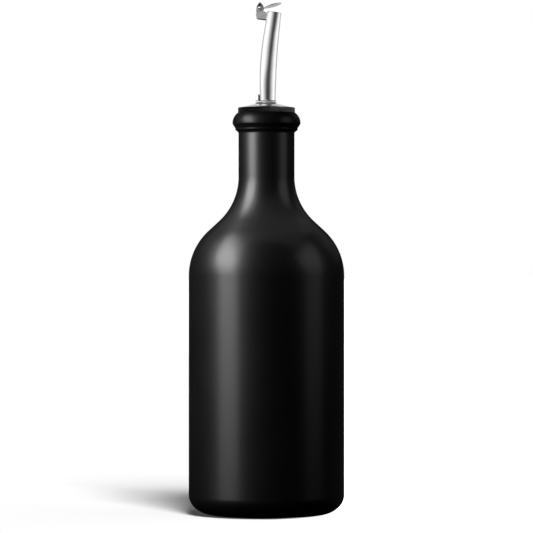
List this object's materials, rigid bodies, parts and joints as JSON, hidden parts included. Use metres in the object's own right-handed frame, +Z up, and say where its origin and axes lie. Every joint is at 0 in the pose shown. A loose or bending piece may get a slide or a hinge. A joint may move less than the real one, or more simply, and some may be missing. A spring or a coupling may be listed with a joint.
{
  "type": "stoneware oil bottle",
  "caption": "Round-shouldered stoneware oil bottle with a stopper pourer, its bent tapering spout closed by a small hinged flap lid.",
  "frame": {"origin": "centre of the bottle's flat foot", "axes": "+Z up the bottle's axis, the spout leans towards +X and slightly towards -Y"},
  "size_m": [0.08, 0.08, 0.2636],
  "materials": {
    "matte_black_glaze": "satin matte black glaze",
    "black_stopper_plastic": "satin black moulding",
    "polished_steel": "polished stainless steel",
    "pressed_steel": "satin pressed stainless steel"
  },
  "bodies": {
    "bottle": {"stoneware_bottle": "matte_black_glaze", "stopper": "black_stopper_plastic", "pourer_flange": "polished_steel", "spout_collar": "polished_steel", "spout_tube": "polished_steel", "vent_tube": "polished_steel", "hinge_bracket": "pressed_steel", "hinge_pin": "pressed_steel"},
    "flap": {"flap_lid": "pressed_steel"}
  },
  "joints": [
    {"name": "flap_hinge", "type": "hinge", "parent": "bottle", "child": "flap", "pos_m": [-0.00326, 0.00093, 0.25999], "axis": [-0.2756, -0.9613, 0], "range_deg": [-24, 60]}
  ]
}
